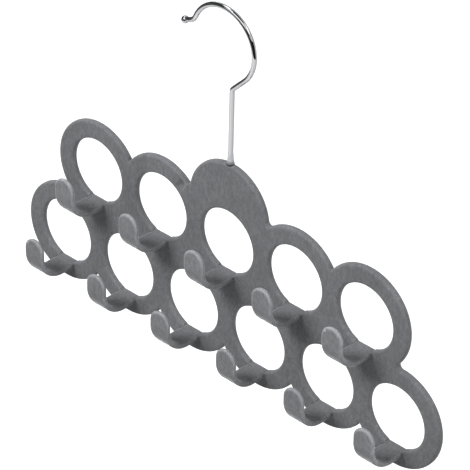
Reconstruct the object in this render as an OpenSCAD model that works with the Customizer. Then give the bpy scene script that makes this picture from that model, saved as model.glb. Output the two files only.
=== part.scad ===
// Scarf hanger: a flat rack of eleven rings with a forward scarf hook under each ring,
// carried by a wire hook that turns in a socket in the rack's crest.
// Millimetres, +Z up. The scarf hooks point to -Y. The origin is where a closet rod bears in the wire hook.

/* [Rack] */
// Distance between neighbouring ring centres in a row
ring_pitch = 60; // [58:1:68]
// Height between the upper and the lower row of ring centres
row_gap = 61.7; // [56:0.1:68]
// Radius of the opening in a ring
ring_hole_r = 23.1; // [19:0.1:24]
// Width of the band around a ring's opening
ring_band = 13.2; // [11:0.1:16]
// Thickness of the rack
rack_t = 5; // [4.6:0.1:7]
// Rounding of the rack's edges
edge_r = 1.8; // [1:0.1:2]
// Radius of the small fillets in the notches between the rings
notch_r = 2.5; // [1.5:0.1:5]
// Radius of the crest over the middle ring
crest_r = 34.2; // [30:0.1:38]
// Height of the crest's centre above the upper row
crest_rise = 24.3; // [20:0.1:30]

/* [Scarf hooks] */
// Width of a scarf hook
tongue_w = 15.8; // [12:0.1:18]
// Thickness of a scarf hook
tongue_t = 3; // [2.8:0.1:4]
// Rounding of a scarf hook's edges
tongue_edge_r = 1.3; // [0.5:0.1:1.4]
// Depth of a scarf hook's floor below the bottom of its ring's opening
floor_drop = 0.1; // [0:0.1:2]
// Distance from the rack's front face to the outer face of a scarf hook
reach = 30.7; // [26:0.1:40]
// Outer radius of a scarf hook's bend
bend_r = 19.5; // [14:0.1:22]
// Height of a scarf hook from its underside to its tip
tongue_h = 31.9; // [30:0.1:42]
// Radius of the fillet under a scarf hook's root
root_fillet_r = 1.5; // [0.5:0.1:3]

/* [Wire hook] */
// Diameter of the wire
wire_d = 3.45; // [3:0.05:3.8]
// Length of straight stem between the crest and the neck bend
stem_rise = 52.5; // [30:0.5:80]
// Centreline radius of the neck bend
neck_r = 4.2; // [3.6:0.1:10]
// Angle that the neck bends away from the stem
neck_angle = 45; // [30:1:60]
// Length of the straight run after the neck bend
neck_run = 13; // [8:0.1:22]
// Centreline radius of the arc that goes over the rod
hook_r = 26.5; // [20:0.5:34]
// Angle that the arc goes through
hook_sweep = 199; // [180:1:210]
// Length of the straight run after the arc
tail_run = 1.9; // [1:0.1:10]
// Centreline radius of the outward curl at the free end
curl_r = 8; // [5:0.1:12]
// Angle of the outward curl
curl_angle = 43; // [20:1:60]
// Length of the straight run after the curl
curl_run = 3.8; // [3:0.1:12]
// Diameter of the ball on the free end
ball_d = 5.2; // [4.8:0.1:8]
// Depth of the ball's socket for the wire
ball_seat = 1.4; // [0.8:0.1:2]

/* [Swivel socket] */
// Depth of the socket below the crest's top
socket_depth = 20; // [17:0.5:30]
// Depth of the retaining groove's middle below the crest's top
groove_drop = 13; // [10:0.5:14]
// Width of the retaining groove in the wire
groove_w = 2.4; // [1.6:0.1:4]
// Depth of the retaining groove in the wire
groove_cut = 0.45; // [0.3:0.05:0.8]
// Radial clearance between the wire and what it turns in
turn_gap = 0.06; // [0.02:0.01:0.1]
// Clearance above and below the collar in the groove
end_play = 0.1; // [0.05:0.05:0.4]
// Radius of the neck bush at its foot
bush_foot_r = 2.95; // [2.8:0.05:4]
// Radius of the neck bush at its top
bush_top_r = 2.3; // [2.2:0.05:2.6]
// Height of the neck bush
bush_h = 4.2; // [2:0.1:8]
// Depth of the bush's flat seat below the crest's top
bush_seat = 0.9; // [0.5:0.1:2]

/* [Hidden] */
$fn = 96;
flock_grey = "#73757a";
bush_grey = "#3c3d40";
chrome = "#d4d7da";
// The lower row has one ring more than the upper row, and the rows are centred on the stem
upper_count = 5;
lower_count = 6;
lobe_r = ring_hole_r + ring_band;
upper_z = row_gap / 2;
lower_z = -row_gap / 2;
crest = [0, upper_z + crest_rise];
crest_top = crest[1] + crest_r;
front_y = -rack_t / 2;
// A cut runs this far past the face that it opens
past = 1;
// The web stops this far from a ring's centre, and the ring's own rounded collar goes on from there
web_r = ring_hole_r + edge_r + 1;
collar_lap = 2;
// A notch's fillet runs this far into the lobes beside it, so that their surfaces cross cleanly
notch_bite = 0.1;
notch_overlap = 3;
floor_z = -ring_hole_r - floor_drop;
wire_r = wire_d / 2;
socket_r = wire_r + turn_gap;
groove_r = wire_r - groove_cut;
collar_r = groove_r + turn_gap;
groove_z = crest_top - groove_drop;
// A straight run is a hair thinner than the bends, and its ends lie inside them
run_r = wire_r - 0.01;
run_lap = 0.1;
stem_tip_gap = 0.5;
stem_chamfer = 0.4;
stem_tip_z = crest_top - socket_depth + stem_tip_gap;
ball_gap = 0.05;
bush_rim = 0.5;
bush_gap = 0.1;

function row_x(i, count) = (i - (count - 1) / 2) * ring_pitch;
function upper(i) = [row_x(i, upper_count), upper_z];
function lower(i) = [row_x(i, lower_count), lower_z];
rings = concat([for (i = [0:upper_count - 1]) upper(i)], [for (i = [0:lower_count - 1]) lower(i)]);
middle = (upper_count - 1) / 2;

// Centre of the circle of radius notch_r in the notch on the left of the line from lobe a to lobe b
function notch_at(a, ra, b, rb) =
    let (
        along = (b - a) / norm(b - a),
        da = ra + notch_r - notch_bite,
        db = rb + notch_r - notch_bite,
        u = (da * da - db * db + norm(b - a) * norm(b - a)) / (2 * norm(b - a))
    )
    a + u * along + sqrt(da * da - u * u) * [-along[1], along[0]];

// Neighbouring lobes on the outline, walked with the outside on the left: centre, radius, centre, radius
top_left = [for (i = [0:middle - 2]) [upper(i), lobe_r, upper(i + 1), lobe_r]];
top_right = [for (i = [middle + 1:upper_count - 2]) [upper(i), lobe_r, upper(i + 1), lobe_r]];
bottom = [for (i = [lower_count - 1:-1:1]) [lower(i), lobe_r, lower(i - 1), lobe_r]];
notches = concat(
    top_left,
    [[upper(middle - 1), lobe_r, crest, crest_r], [crest, crest_r, upper(middle + 1), lobe_r]],
    top_right,
    [[upper(upper_count - 1), lobe_r, lower(lower_count - 1), lobe_r]],
    bottom,
    [[lower(0), lobe_r, upper(0), lobe_r]]
);

// The wire's centreline from the top of the stem: runs, and bends that turn left when positive
RUN = 0;
BEND = 1;
moves = [
    [BEND, neck_r, -neck_angle],
    [RUN, neck_run],
    [BEND, hook_r, hook_sweep],
    [RUN, tail_run],
    [BEND, curl_r, -curl_angle],
    [RUN, curl_run]
];
function heading(a) = [cos(a), sin(a)];
function bend_centre(s, m) = s[0] + m[1] * sign(m[2]) * heading(s[1] + 90);
function bend_end(s, m) = bend_centre(s, m) - m[1] * sign(m[2]) * heading(s[1] + m[2] + 90);
function after(s, m) = m[0] == RUN ? [s[0] + m[1] * heading(s[1]), s[1]] : [bend_end(s, m), s[1] + m[2]];
function walk(s, i = 0) = i == len(moves) ? [s] : concat([s], walk(after(s, moves[i]), i + 1));
stem_top = [0, crest_top + stem_rise];
stops = walk([stem_top, 90]);
hook_centre = bend_centre(stops[2], moves[2]);
wire_end = stops[len(moves)];
// The rod bears on the inside of the arc, at its highest point
seat = [hook_centre[0], hook_centre[1] + hook_r - wire_r];

// Puts the place in the rack's plane, x and z, that a shape was drawn for
module at(p) {
    translate([p[0], 0, p[1]]) children();
}

// Turns a shape drawn in x and y into the rack's plane, its thickness along y
module upright() {
    rotate([90, 0, 0]) children();
}

// Half of a section with both corners rounded: from x0 to its round end at x1
module outer_round(x0, x1, t, r) {
    translate([x0, -t / 2]) square([x1 - r - x0, t]);
    translate([x0, r - t / 2]) square([x1 - x0, t - 2 * r]);
    for (s = [-1, 1])
        translate([x1 - r, s * (t / 2 - r)]) circle(r);
}

// The same section with the round end towards the axis, at x0
module inner_round(x0, x1, t, r) {
    mirror([1, 0]) outer_round(-x1, -x0, t, r);
}

module lobe(r) {
    upright() rotate_extrude() outer_round(0, r, rack_t, edge_r);
}

module ring_collar() {
    upright() rotate_extrude() inner_round(ring_hole_r, web_r + collar_lap, rack_t, edge_r);
}

// The fillet in one notch: a sector around the fillet's centre that reaches back past the lobes' line
module notch_fillet(n) {
    c = notch_at(n[0], n[1], n[2], n[3]);
    to_a = atan2(n[0][1] - c[1], n[0][0] - c[0]);
    to_b = atan2(n[2][1] - c[1], n[2][0] - c[0]);
    sweep = (to_b - to_a + 360) % 360;
    along = (n[2] - n[0]) / norm(n[2] - n[0]);
    depth = abs((c - n[0]) * [-along[1], along[0]]);
    at(c) upright() rotate([0, 0, to_a]) rotate_extrude(angle = sweep)
        inner_round(notch_r, depth + notch_overlap, rack_t, edge_r);
}

// The flat infill between the rings, from centre to centre
module infill() {
    outline = [lower(0), lower(lower_count - 1), upper(upper_count - 1), upper(middle + 1), crest, upper(middle - 1), upper(0)];
    upright() translate([0, 0, -rack_t / 2]) linear_extrude(rack_t) polygon(outline);
}

module web() {
    difference() {
        union() {
            for (c = rings) at(c) lobe(lobe_r);
            at(crest) lobe(crest_r);
            for (n = notches) notch_fillet(n);
            infill();
        }
        for (c = rings)
            at(c) upright() cylinder(h = rack_t + 2 * past, r = web_r, center = true);
    }
}

// The seat of a scarf hook's root: a slot through the rack at the bottom of the ring's opening
module root_slot() {
    translate([-tongue_w / 2, front_y - past, floor_z - tongue_t])
        cube([tongue_w, rack_t + 2 * past, tongue_t - floor_z - ring_hole_r / 2]);
}

// The space that the wire's end turns in: a bore with a collar left standing for the groove
module swivel_socket() {
    collar_low = groove_z - groove_w / 2 + end_play;
    collar_high = groove_z + groove_w / 2 - end_play;
    rotate_extrude() polygon([
        [0, crest_top - socket_depth],
        [socket_r, crest_top - socket_depth],
        [socket_r, collar_low],
        [collar_r, collar_low],
        [collar_r, collar_high],
        [socket_r, collar_high],
        [socket_r, crest_top + past],
        [0, crest_top + past]
    ]);
}

module rack_plate() {
    color(flock_grey) placed() difference() {
        union() {
            web();
            for (c = rings) at(c) ring_collar();
        }
        for (c = rings) at(c) root_slot();
        swivel_socket();
        translate([0, 0, crest_top - bush_seat]) cylinder(h = bush_h, r = bush_foot_r + bush_gap);
    }
}

// Section of a scarf hook, its thickness along x and its width along y, with all four edges rounded
module tongue_section() {
    for (s = [-1, 1])
        rotate(90 * s) outer_round(0, tongue_w / 2, tongue_t, tongue_edge_r);
}

// The J of a scarf hook from the rack's front face to where its tip rounds off
module tongue_bend() {
    mid_r = bend_r - tongue_t / 2;
    rotate([90, 0, 90]) translate([front_y - reach + bend_r, floor_z - tongue_t + bend_r]) {
        translate([0, -mid_r]) rotate([0, 90, 0])
            linear_extrude(reach - bend_r) rotate(90) tongue_section();
        rotate([0, 0, 180]) rotate_extrude(angle = 90) translate([mid_r, 0]) tongue_section();
        translate([-mid_r, 0]) rotate([-90, 0, 0])
            linear_extrude(tongue_h - bend_r - tongue_w / 2) tongue_section();
    }
}

module tongue_tip() {
    translate([0, front_y - reach + tongue_t / 2, floor_z - tongue_t + tongue_h - tongue_w / 2])
        upright() rotate_extrude(angle = 180) outer_round(0, tongue_w / 2, tongue_t, tongue_edge_r);
}

// The fillet in the corner between the rack's front face and the underside of a scarf hook
module root_fillet() {
    r = root_fillet_r;
    translate([0, front_y, floor_z - tongue_t]) rotate([90, 0, 90])
        linear_extrude(tongue_w - 2 * tongue_edge_r, center = true) difference() {
            translate([-r, -r]) square([r, r + tongue_t / 2]);
            translate([-r, -r]) circle(r);
        }
}

module scarf_hook(c) {
    color(flock_grey) placed() at(c) {
        translate([-tongue_w / 2, front_y, floor_z - tongue_t]) cube([tongue_w, rack_t, tongue_t]);
        tongue_bend();
        tongue_tip();
        root_fillet();
    }
}

module neck_bush() {
    foot_z = crest_top - bush_seat;
    color(bush_grey) placed() rotate_extrude() polygon([
        [socket_r, foot_z],
        [bush_foot_r, foot_z],
        [bush_foot_r, foot_z + bush_rim],
        [bush_top_r, foot_z + bush_h],
        [socket_r, foot_z + bush_h]
    ]);
}

module stem() {
    rotate_extrude() polygon([
        [0, stem_tip_z],
        [wire_r - stem_chamfer, stem_tip_z],
        [wire_r, stem_tip_z + stem_chamfer],
        [wire_r, groove_z - groove_w / 2],
        [groove_r, groove_z - groove_w / 2],
        [groove_r, groove_z + groove_w / 2],
        [wire_r, groove_z + groove_w / 2],
        [wire_r, stem_top[1] - run_lap],
        [run_r, stem_top[1] - run_lap],
        [run_r, stem_top[1] + run_lap],
        [0, stem_top[1] + run_lap]
    ]);
}

module wire_run(s, m, end_lap) {
    at(s[0]) rotate([0, 90 - s[1], 0])
        translate([0, 0, -run_lap]) cylinder(h = m[1] + run_lap + end_lap, r = run_r);
}

module wire_bend(s, m) {
    from = s[1] - 90 * sign(m[2]) + min(0, m[2]);
    at(bend_centre(s, m)) upright() rotate([0, 0, from])
        rotate_extrude(angle = abs(m[2])) translate([m[1], 0]) circle(wire_r);
}

module wire_hook() {
    color(chrome) placed() {
        stem();
        for (i = [0:len(moves) - 1])
            if (moves[i][0] == BEND) wire_bend(stops[i], moves[i]);
            else wire_run(stops[i], moves[i], i < len(moves) - 1 ? run_lap : 0);
    }
}

module hook_ball() {
    color(chrome) placed() at(wire_end[0]) rotate([0, 90 - wire_end[1], 0]) difference() {
        translate([0, 0, ball_d / 2 - ball_seat]) sphere(d = ball_d);
        translate([0, 0, -ball_d]) cylinder(h = ball_d, r = wire_r + ball_gap);
    }
}

// Moves everything from the middle of the rack to the rod's seat
module placed() {
    translate([-seat[0], 0, -seat[1]]) children();
}

rack_plate();
scarf_hook(upper(0));  // scarf_hook_upper_1
scarf_hook(upper(1));  // scarf_hook_upper_2
scarf_hook(upper(2));  // scarf_hook_upper_3
scarf_hook(upper(3));  // scarf_hook_upper_4
scarf_hook(upper(4));  // scarf_hook_upper_5
scarf_hook(lower(0));  // scarf_hook_lower_1
scarf_hook(lower(1));  // scarf_hook_lower_2
scarf_hook(lower(2));  // scarf_hook_lower_3
scarf_hook(lower(3));  // scarf_hook_lower_4
scarf_hook(lower(4));  // scarf_hook_lower_5
scarf_hook(lower(5));  // scarf_hook_lower_6
neck_bush();
wire_hook();
hook_ball();
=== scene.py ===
"""Looks for the scarf hanger: a flocked rack of rings and scarf hooks on a chromed wire hook.

Metres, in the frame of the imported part: +Z up along the stem, the scarf hooks point to -Y,
and the origin is where a closet rod bears in the wire hook.
"""
import math

import bmesh
import bpy
from mathutils import Matrix, Vector

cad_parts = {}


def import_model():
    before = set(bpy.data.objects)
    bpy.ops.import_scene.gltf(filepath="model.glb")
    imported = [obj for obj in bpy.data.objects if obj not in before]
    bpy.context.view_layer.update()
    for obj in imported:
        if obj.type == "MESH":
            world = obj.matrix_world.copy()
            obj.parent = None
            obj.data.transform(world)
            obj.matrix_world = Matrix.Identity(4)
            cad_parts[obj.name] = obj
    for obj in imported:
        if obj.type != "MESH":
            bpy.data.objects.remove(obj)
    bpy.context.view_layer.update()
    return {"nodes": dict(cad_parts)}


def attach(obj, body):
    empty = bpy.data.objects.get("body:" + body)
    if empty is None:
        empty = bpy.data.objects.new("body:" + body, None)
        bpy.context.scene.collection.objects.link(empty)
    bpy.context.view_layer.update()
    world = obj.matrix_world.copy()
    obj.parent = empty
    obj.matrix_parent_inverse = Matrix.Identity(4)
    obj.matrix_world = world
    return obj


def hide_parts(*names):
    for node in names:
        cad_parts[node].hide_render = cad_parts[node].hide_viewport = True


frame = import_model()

MM = 0.001
RACK_NODES = sorted(n for n in frame["nodes"] if n == "rack_plate" or n.startswith("scarf_hook"))

# The camera, fitted to the ring openings, the rack's outline and the wire: where it looks, and from
# where, with angles in degrees, lens and sensor in millimetres, and distance and clipping in metres
LOOK_AT = Vector((13.82, 0, -160.0)) * MM
AZIMUTH = 43.2
ELEVATION = 33.08
ROLL = 1.44
DISTANCE = 2.0967
LENS = 249.9
SENSOR = 36
CLIP = 0.05, 50

# The wire, in millimetres in its own plane, x and z: up the stem from the tip in the socket, then
# by straight runs and by bends of a radius and a turn in degrees, to the ball
WIRE_R = 1.725
STEM_X = 8.3158
STEM_FOOT = -127.7
STEM_TOP = -55.676
WIRE_MOVES = [
    ("bend", 4.2, -45),
    ("run", 13),
    ("bend", 26.5, 199),
    ("run", 1.9),
    ("bend", 8, -43),
    ("run", 3.8),
]
UPWARD = 90.0
# How finely the wire and the bush are drawn: steps up the stem and along each run, degrees for each
# step round a bend, and sides round the wire
STEM_STEPS = 24
RUN_STEPS = 4
BEND_STEP = 2.5
RING_SIDES = 64
RING_TURNS = [math.tau * k / RING_SIDES for k in range(RING_SIDES)]

# The neck bush in millimetres: radius and height above the crest's top, up the flare and down the bore
CREST_TOP = -108.176
BUSH_PROFILE = [
    (2.75, -0.88), (2.7, 0.2), (2.5, 1.0), (2.3, 2.1), (2.12, 3.4),
    (2.0, 4.8), (1.92, 6.2), (1.84, 6.9), (1.78, 7.0), (1.775, -0.88),
]

# The flocked skin: the cell of its remesh, and how far it is smoothed
VOXEL = 0.42 * MM
SMOOTH_PASSES = 5
SMOOTH_FACTOR = 0.5
# The pile on the scarf hooks: how far it stands proud of their tips and inner faces, and of their
# sides, where along Y it begins, and how far on it is full
PILE = 0.35 * MM
SIDE_PILE = 0.6 * MM
HOOK_START = -3.5 * MM
HOOK_BLEND = 3 * MM

# Each noise: lumps per metre along x, y and z, detail and roughness
FLOCK_NOISES = {
    "clouds": ((34, 34, 26), 3, 0.5),
    "mottle": ((520, 520, 300), 4, 0.6),
    "strokes": ((420, 420, 180), 3, 0.6),
    "nap": ((1900, 1900, 900), 2, 0.6),
}
CHROME_HAZE = (260, 260, 90), 3, 0.5
BUSH_GRAIN = (900, 900, 900), 3, 0.5
# The part of a noise's range that is used, and how far it swings the tone about 1
NOISE_RANGE = 0.3, 0.7
FLOCK_SWINGS = {"clouds": 0.1, "mottle": 0.14, "strokes": 0.08, "nap": 0.15}
BUSH_SWING = 0.1

# The flock's colour, and the pointiness over which a surface counts as turning an edge and gets a painted
# highlight
FLOCK_COLOR = (0.150, 0.1525, 0.1605, 1)
EDGE_HIGHLIGHT_TURN = 0.508, 0.54
# How much paler the painted highlight makes the pile where it turns an edge, on the rack and on its scarf
# hooks
PLATE_EDGE_HIGHLIGHT = 0.35
HOOK_EDGE_HIGHLIGHT = 1.3
# How much paler painted light makes the outer faces of the scarf hooks, which stand out into the light, and
# where along Y that begins and is full
HOOK_FACE_LIGHT = 1.18
HOOK_FACE_LIGHT_SPAN = -26 * MM, -31 * MM
FLOCK_FINISH = {
    "Roughness": 0.95,
    "Specular IOR Level": 0.15,
    "Sheen Weight": 0.8,
    "Sheen Roughness": 0.3,
    "Sheen Tint": (0.82, 0.83, 0.86, 1),
}
# Each bump: its strength and its depth
FLOCK_BUMP = 0.5, 0.25 * MM

CHROME_FINISH = {"Base Color": (0.82, 0.825, 0.835, 1), "Metallic": 1.0}
CHROME_ROUGHNESS = 0.02, 0.05
CHROME_BUMP = 0.25, 0.05 * MM

# The bush has a painted shadow that makes it nearly black at its foot, and is paler where it thins
BUSH_COLOR = (0.99, 1.0, 1.03, 1)
BUSH_PAINTED_SHADOW_SPAN = (CREST_TOP - 0.2) * MM, (CREST_TOP + 3.4) * MM
BUSH_PAINTED_SHADOW_TONES = 0.04, 0.5
BUSH_FINISH = {"Roughness": 0.32}
BUSH_BUMP = 0.2, 0.08 * MM

# The floor, a disc in metres, and the glow that makes it and the world white where they are seen
FLOOR_Z = -0.95
FLOOR_R = 2.2
FLOOR_SIDES = 96
FLOOR_FINISH = {"Base Color": (0.35, 0.35, 0.35, 1), "Roughness": 1.0, "Specular IOR Level": 0.0}
FLOOR_GLOW = 0.95
WHITE = (1, 1, 1, 1)
# The world's strength as a light
WORLD_LEVEL = 0.34
# How much of the white glow of the floor and the world a reflection shows
GLOSS_SHARE = 0.45

# The lamps: place in metres, size in metres, power in watts
LAMPS = {
    "key": ((-0.42, -1.25, 1.2), 0.7, 36),
    "fill": ((1.3, -1.1, 0.3), 1.0, 5),
    "rim_right": ((1.5, 0.8, 0.25), 1.1, 16),
    "rim_left": ((-1.3, 0.9, 0.5), 1.1, 12),
}

# The cards: level, azimuths from the front towards the right and elevations, both in degrees, and the
# distance in metres
CARDS = {
    "card_front": (0.01, (4, 108), (-28, 15), 1.9),
    "card_front_high": (0.02, (-8, 36), (-20, 25), 1.88),
    "card_left": (0.07, (-125, 4), (-27, 17), 1.9),
    "card_left_high": (0.03, (-110, -38), (17, 50), 1.9),
    "card_strip": (0.08, (34, 56), (18, 40), 1.9),
    "card_top": (0.03, (-180, 180), (60, 89), 1.9),
    "card_back": (0.3, (125, 235), (-5, 46), 1.9),
    "card_bright_side": (1.3, (60, 150), (33, 50), 1.85),
    "card_bright_top": (1.6, (-130, -22), (54, 71), 1.85),
    "card_bright_front": (1.4, (-22, 26), (29, 48), 1.85),
    "card_below": (0.7, (-180, 180), (-89, -27), 0.85),
    "card_below_back": (0.5, (100, 250), (-89, -27), 0.8),
    "card_below_stripe": (0.95, (-14, 12), (-62, -28), 0.83),
}
CARD_FINISH = {"Base Color": (0, 0, 0, 1), "Specular IOR Level": 0.0, "Emission Strength": 1.0}
# How much bluer than grey a card is, and about how many degrees a cell of its mesh spans
CARD_BLUE = 1.02
CARD_STEP = 8


class Graph:
    """The node tree of a material or of the world, with short ways to add nodes and to join them."""

    def __init__(self, tree):
        self.tree = tree
        self.link = tree.links.new

    def add(self, kind, **values):
        """A new node, with each value set on the node itself, or else on its input of that name."""
        node = self.tree.nodes.new(kind)
        for key, value in values.items():
            if hasattr(node, key):
                setattr(node, key, value)
            else:
                node.inputs[key].default_value = value
        return node

    def noise(self, coords, stretch, detail, roughness):
        """A noise texture, stretched by its own count of lumps per metre along x, y and z."""
        mapping = self.add("ShaderNodeMapping", Scale=stretch)
        self.link(coords, mapping.inputs["Vector"])
        texture = self.add("ShaderNodeTexNoise", Scale=1.0, Detail=detail, Roughness=roughness)
        self.link(mapping.outputs["Vector"], texture.inputs["Vector"])
        return texture.outputs["Fac"]

    def remap(self, value, low, high, to_low, to_high):
        """The value taken from one range to another, and kept within it."""
        node = self.add("ShaderNodeMapRange")
        for key, number in zip(("From Min", "From Max", "To Min", "To Max"), (low, high, to_low, to_high)):
            node.inputs[key].default_value = number
        self.link(value, node.inputs["Value"])
        return node.outputs["Result"]

    def swing(self, noise, amount):
        """A tone about 1 that follows a noise."""
        return self.remap(noise, *NOISE_RANGE, 1 - amount, 1 + amount)

    def math(self, operation, a, b):
        """Two values joined by a sum, product or the like. The second may be a plain number."""
        node = self.add("ShaderNodeMath", operation=operation)
        self.link(a, node.inputs[0])
        if isinstance(b, bpy.types.NodeSocket):
            self.link(b, node.inputs[1])
        else:
            node.inputs[1].default_value = b
        return node.outputs[0]

    def product(self, value, *factors):
        """The value times each factor in turn."""
        for factor in factors:
            value = self.math("MULTIPLY", value, factor)
        return value

    def tinted(self, color, tone):
        """A colour made lighter and darker by a tone."""
        mix = self.add("ShaderNodeMix", data_type="RGBA", blend_type="MULTIPLY", Factor=1.0)
        color_in = [socket for socket in mix.inputs if socket.type == "RGBA"]
        color_in[0].default_value = color
        self.link(tone, color_in[1])
        return next(socket for socket in mix.outputs if socket.type == "RGBA")

    def bump(self, height, strength, depth):
        """The normal of a surface with a fine relief."""
        node = self.add("ShaderNodeBump", Strength=strength, Distance=depth)
        self.link(height, node.inputs["Height"])
        return node.outputs["Normal"]

    def axis(self, coords, name):
        """One coordinate, X, Y or Z."""
        split = self.add("ShaderNodeSeparateXYZ")
        self.link(coords, split.inputs[0])
        return split.outputs[name]

    def seen(self, *kinds):
        """1 for a camera ray and for the kinds of ray named, GLOSS_SHARE for a glossy one, else 0."""
        path = self.add("ShaderNodeLightPath")
        in_gloss = self.math("MULTIPLY", path.outputs["Is Glossy Ray"], GLOSS_SHARE)
        share = self.math("MAXIMUM", path.outputs["Is Camera Ray"], in_gloss)
        for kind in kinds:
            share = self.math("MAXIMUM", share, path.outputs[kind])
        return share


def material(name, finish):
    """A new node material, its graph and its shader, with the constants of its finish on the shader."""
    mat = bpy.data.materials.new(name)
    mat.use_nodes = True
    shader = mat.node_tree.nodes["Principled BSDF"]
    for key, value in finish.items():
        shader.inputs[key].default_value = value
    return mat, Graph(mat.node_tree), shader


def painted_edge_highlight(graph, depth):
    """A painted highlight where the surface turns an edge, and more so on the scarf hooks."""
    pointiness = graph.add("ShaderNodeNewGeometry").outputs["Pointiness"]
    highlight_gain = graph.remap(depth, HOOK_START, HOOK_START - HOOK_BLEND, PLATE_EDGE_HIGHLIGHT, HOOK_EDGE_HIGHLIGHT)
    edge_highlight = graph.product(graph.remap(pointiness, *EDGE_HIGHLIGHT_TURN, 0, 1), highlight_gain)
    return graph.math("ADD", edge_highlight, 1.0)


def flock_material():
    """Short dense grey flock: soft clouds, a streaked nap, a painted highlight where the surface turns an
    edge, and painted light on the outer faces of the scarf hooks.
    """
    mat, graph, shader = material("flock", FLOCK_FINISH)
    coords = graph.add("ShaderNodeTexCoord").outputs["Object"]
    depth = graph.axis(coords, "Y")
    noises = {name: graph.noise(coords, *values) for name, values in FLOCK_NOISES.items()}
    tones = [graph.swing(noises[name], amount) for name, amount in FLOCK_SWINGS.items()]
    # The painted highlight along the edges
    tones.append(painted_edge_highlight(graph, depth))
    # The painted light on the outer faces of the scarf hooks
    tones.append(graph.remap(depth, *HOOK_FACE_LIGHT_SPAN, 1.0, HOOK_FACE_LIGHT))
    graph.link(graph.tinted(FLOCK_COLOR, graph.product(*tones)), shader.inputs["Base Color"])
    relief = graph.product(noises["nap"], noises["mottle"])
    graph.link(graph.bump(relief, *FLOCK_BUMP), shader.inputs["Normal"])
    return mat


def chrome_material():
    """Bright chrome plating with a faint haze drawn out along the wire."""
    mat, graph, shader = material("chrome", CHROME_FINISH)
    coords = graph.add("ShaderNodeTexCoord").outputs["Object"]
    haze = graph.noise(coords, *CHROME_HAZE)
    graph.link(graph.remap(haze, *NOISE_RANGE, *CHROME_ROUGHNESS), shader.inputs["Roughness"])
    graph.link(graph.bump(haze, *CHROME_BUMP), shader.inputs["Normal"])
    return mat


def bush_material():
    """Plastic with a painted shadow that darkens it towards its foot, and a fine grain."""
    mat, graph, shader = material("bush_plastic", BUSH_FINISH)
    coords = graph.add("ShaderNodeTexCoord").outputs["Object"]
    grain = graph.noise(coords, *BUSH_GRAIN)
    # The painted shadow, darkest at the bush's foot
    painted_shadow = graph.remap(graph.axis(coords, "Z"), *BUSH_PAINTED_SHADOW_SPAN, *BUSH_PAINTED_SHADOW_TONES)
    tone = graph.product(painted_shadow, graph.swing(grain, BUSH_SWING))
    graph.link(graph.tinted(BUSH_COLOR, tone), shader.inputs["Base Color"])
    graph.link(graph.bump(grain, *BUSH_BUMP), shader.inputs["Normal"])
    return mat


def placed(name, data):
    """A new object in the scene."""
    obj = bpy.data.objects.new(name, data)
    bpy.context.scene.collection.objects.link(obj)
    return obj


def mesh_from(bm, name):
    """A new mesh with what the bmesh holds, which is freed."""
    mesh = bpy.data.meshes.new(name)
    bm.to_mesh(mesh)
    bm.free()
    return mesh


def add_piece(name, mesh, mat, body, slot, *nodes):
    """A piece of the object: its mesh and material, the body it rides on and the nodes it stands for."""
    obj = placed(name, mesh)
    mesh.materials.clear()
    mesh.materials.append(mat)
    mesh.polygons.foreach_set("use_smooth", [True] * len(mesh.polygons))
    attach(obj, body)
    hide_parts(*nodes)


def shells_of(bm):
    """The closed shells of a bmesh, each as a set of vertices, from the smallest to the largest."""
    unseen = set(bm.verts)
    shells = []
    while unseen:
        stack = [unseen.pop()]
        shell = set(stack)
        while stack:
            for edge in stack.pop().link_edges:
                for vert in edge.verts:
                    if vert not in shell:
                        shell.add(vert)
                        stack.append(vert)
        unseen -= shell
        shells.append(shell)
    return sorted(shells, key=len)


def keep_largest_shell(mesh):
    """Drops the small closed shells that a remesh leaves where two solids touch."""
    bm = bmesh.new()
    bm.from_mesh(mesh)
    for shell in shells_of(bm)[:-1]:
        bmesh.ops.delete(bm, geom=list(shell), context="VERTS")
    bm.to_mesh(mesh)
    bm.free()


def raise_pile(mesh):
    """Lets the pile stand proud on the scarf hooks, but not past the plane of their outer faces."""
    normals = [vert.normal.copy() for vert in mesh.vertices]
    for vert, n in zip(mesh.vertices, normals):
        share = min(1.0, max(0.0, (HOOK_START - vert.co.y) / HOOK_BLEND))
        if share > 0:
            vert.co += Vector((n.x * SIDE_PILE, max(0.0, n.y) * PILE, n.z * PILE)) * share


def rack_source():
    """The solids of the rack plate and the scarf hooks as one object, to be remeshed and smoothed."""
    bm = bmesh.new()
    for name in RACK_NODES:
        bm.from_mesh(frame["nodes"][name].data)
    source = placed("flock_source", mesh_from(bm, "flock_source"))
    remesh = source.modifiers.new("remesh", "REMESH")
    remesh.mode = "VOXEL"
    remesh.voxel_size = VOXEL
    smooth = source.modifiers.new("smooth", "SMOOTH")
    smooth.factor = SMOOTH_FACTOR
    smooth.iterations = SMOOTH_PASSES
    return source


def flocked_skin(mat):
    """One continuous skin over the rack and its scarf hooks, with soft corners at the roots and edges."""
    source = rack_source()
    rough = source.data
    depsgraph = bpy.context.evaluated_depsgraph_get()
    mesh = bpy.data.meshes.new_from_object(source.evaluated_get(depsgraph))
    mesh.name = "flocked_skin"
    bpy.data.objects.remove(source)
    bpy.data.meshes.remove(rough)
    keep_largest_shell(mesh)
    raise_pile(mesh)
    add_piece("flocked_skin", mesh, mat, "rack", "flocked_body", *RACK_NODES)


def spread(low, high, steps):
    """Evenly spaced values from low to high, with both."""
    return [low + (high - low) * k / steps for k in range(steps + 1)]


def heading_vector(heading):
    """The unit vector of a heading in the wire's plane, in degrees from +X towards +Z."""
    turn = math.radians(heading)
    return Vector((math.cos(turn), math.sin(turn)))


def run(place, heading, length):
    """Points of a straight run, each with the heading."""
    ahead = heading_vector(heading)
    return [(place + ahead * length * k / RUN_STEPS, heading) for k in range(1, RUN_STEPS + 1)]


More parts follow.
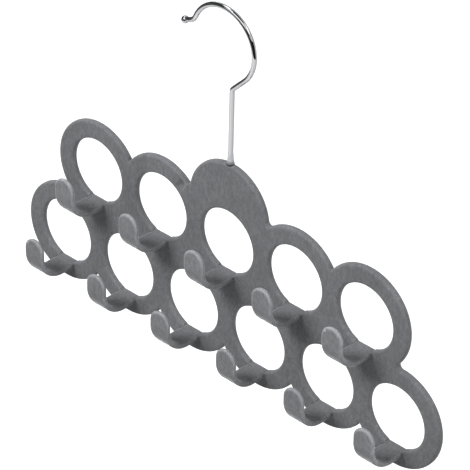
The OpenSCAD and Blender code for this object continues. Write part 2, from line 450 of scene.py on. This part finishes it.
def bend(place, heading, radius, turn):
    """Points of a bend, to the left where the turn is positive, each with its heading."""
    outward = radius * math.copysign(1, turn)
    centre = place + heading_vector(heading + 90) * outward
    headings = spread(heading, heading + turn, round(abs(turn) / BEND_STEP))[1:]
    return [(centre - heading_vector(now + 90) * outward, now) for now in headings]


def wire_path():
    """Points along the wire's centreline, each with its heading in degrees."""
    moves = {"run": run, "bend": bend}
    path = [(Vector((STEM_X, z)), UPWARD) for z in spread(STEM_FOOT, STEM_TOP, STEM_STEPS)]
    for kind, *sizes in WIRE_MOVES:
        path += moves[kind](*path[-1], *sizes)
    return path


def lofted(name, rings, closed):
    """A mesh through rings of points in millimetres: a capped tube, or a band that closes on itself."""
    bm = bmesh.new()
    rings = [[bm.verts.new(point * MM) for point in ring] for ring in rings]
    following = rings[1:] + rings[:1] if closed else rings[1:]
    for a, b in zip(rings, following):
        for k in range(RING_SIDES):
            bm.faces.new((a[k], a[k - 1], b[k - 1], b[k]))
    if not closed:
        bm.faces.new(rings[0])
        bm.faces.new(reversed(rings[-1]))
    bmesh.ops.recalc_face_normals(bm, faces=bm.faces)
    return mesh_from(bm, name)


def wire(mat):
    """The chromed wire, swept as one smooth tube along its centreline."""
    rings = []
    for place, heading in wire_path():
        across = heading_vector(heading + 90)
        ring = []
        for turn in RING_TURNS:
            x, z = place + across * math.cos(turn) * WIRE_R
            ring.append(Vector((x, math.sin(turn) * WIRE_R, z)))
        rings.append(ring)
    mesh = lofted("chromed_wire", rings, closed=False)
    add_piece("chromed_wire", mesh, mat, "hanging_hook", "chrome_wire", "wire_hook")


def bush(mat):
    """The neck bush as a smooth flare that hugs the wire, turned from its profile."""
    rings = []
    for r, z in BUSH_PROFILE:
        rings.append([Vector((STEM_X + r * math.cos(t), r * math.sin(t), CREST_TOP + z)) for t in RING_TURNS])
    mesh = lofted("flared_bush", rings, closed=True)
    add_piece("flared_bush", mesh, mat, "rack", "neck_bush", "neck_bush")


def dress_node(name, mat):
    """Gives a solid of the part its finish and leaves its shape."""
    materials = frame["nodes"][name].data.materials
    materials.clear()
    materials.append(mat)


def toward(azimuth, elevation):
    """The unit vector at an azimuth from the front towards the right, and an elevation, in degrees."""
    a = math.radians(azimuth)
    e = math.radians(elevation)
    return Vector((math.sin(a) * math.cos(e), -math.cos(a) * math.cos(e), math.sin(e)))


def camera():
    """The camera at the photograph's viewing angle."""
    back = toward(AZIMUTH, ELEVATION)
    right = toward(AZIMUTH + 90, 0)
    up = back.cross(right)
    roll = math.radians(ROLL)
    rolled_right = right * math.cos(roll) + up * math.sin(roll)
    rolled_up = up * math.cos(roll) - right * math.sin(roll)
    cam = bpy.data.cameras.new("camera")
    cam.lens = LENS
    cam.sensor_width = SENSOR
    cam.clip_start, cam.clip_end = CLIP
    obj = placed("camera", cam)
    axes = Matrix((rolled_right, rolled_up, back)).transposed().to_4x4()
    obj.matrix_world = Matrix.Translation(LOOK_AT + back * DISTANCE) @ axes
    bpy.context.scene.camera = obj


def floor():
    """A pale disc under the object that takes its shadow and is white where it is seen."""
    mat, graph, shader = material("floor", FLOOR_FINISH)
    glow = graph.add("ShaderNodeEmission", Color=WHITE)
    strength = graph.product(graph.seen("Is Transmission Ray"), FLOOR_GLOW)
    graph.link(strength, glow.inputs["Strength"])
    both = graph.add("ShaderNodeAddShader")
    graph.link(shader.outputs[0], both.inputs[0])
    graph.link(glow.outputs[0], both.inputs[1])
    graph.link(both.outputs[0], mat.node_tree.nodes["Material Output"].inputs["Surface"])
    bm = bmesh.new()
    bmesh.ops.create_circle(bm, cap_ends=True, segments=FLOOR_SIDES, radius=FLOOR_R)
    mesh = mesh_from(bm, "floor")
    mesh.materials.append(mat)
    obj = placed("floor", mesh)
    obj.location = (0, 0, FLOOR_Z)


def world():
    """Soft light from all round, white where it is seen."""
    scene_world = bpy.data.worlds.new("studio")
    bpy.context.scene.world = scene_world
    scene_world.use_nodes = True
    scene_world.node_tree.nodes.clear()
    graph = Graph(scene_world.node_tree)
    glow = graph.add("ShaderNodeBackground", Color=WHITE)
    graph.link(graph.remap(graph.seen(), 0, 1, WORLD_LEVEL, 1), glow.inputs["Strength"])
    out = graph.add("ShaderNodeOutputWorld")
    graph.link(glow.outputs[0], out.inputs["Surface"])


def lamp(name, place, size, power):
    """A square softbox that faces the middle of the rack and doesn't show in gloss."""
    light = bpy.data.lights.new(name, "AREA")
    light.shape = "SQUARE"
    light.size = size
    light.energy = power
    obj = placed(name, light)
    obj.location = place
    facing = Vector(place) - LOOK_AT
    obj.rotation_euler = facing.to_track_quat("Z", "Y").to_euler()
    obj.visible_glossy = False


def card_mesh(name, azimuths, elevations, distance):
    """A patch of a sphere about the origin, in cells of about CARD_STEP degrees."""
    columns = round((azimuths[1] - azimuths[0]) / CARD_STEP)
    rows = round((elevations[1] - elevations[0]) / CARD_STEP)
    corners = []
    for elevation in spread(*elevations, rows):
        corners += [toward(azimuth, elevation) * distance for azimuth in spread(*azimuths, columns)]
    faces = []
    for j in range(rows):
        for i in range(columns):
            k = j * (columns + 1) + i
            faces.append((k, k + 1, k + columns + 2, k + columns + 1))
    mesh = bpy.data.meshes.new(name)
    mesh.from_pydata(corners, [], faces)
    return mesh


def gloss_card(name, level, azimuths, elevations, distance):
    """A curved studio card around the wire hook that only shows in gloss, as the streaks along the chrome."""
    mat, _, shader = material(name, CARD_FINISH)
    shader.inputs["Emission Color"].default_value = (level, level, level * CARD_BLUE, 1)
    mesh = card_mesh(name, azimuths, elevations, distance)
    mesh.materials.append(mat)
    obj = placed(name, mesh)
    obj.visible_camera = False
    obj.visible_diffuse = False
    obj.visible_shadow = False
    obj.visible_transmission = False


def main():
    """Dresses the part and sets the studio."""
    scene = bpy.context.scene
    scene.view_settings.view_transform = "Standard"
    chrome = chrome_material()
    flocked_skin(flock_material())
    wire(chrome)
    dress_node("hook_ball", chrome)
    bush(bush_material())
    camera()
    floor()
    world()
    for name, values in CARDS.items():
        gloss_card(name, *values)
    for name, values in LAMPS.items():
        lamp(name, *values)


main()
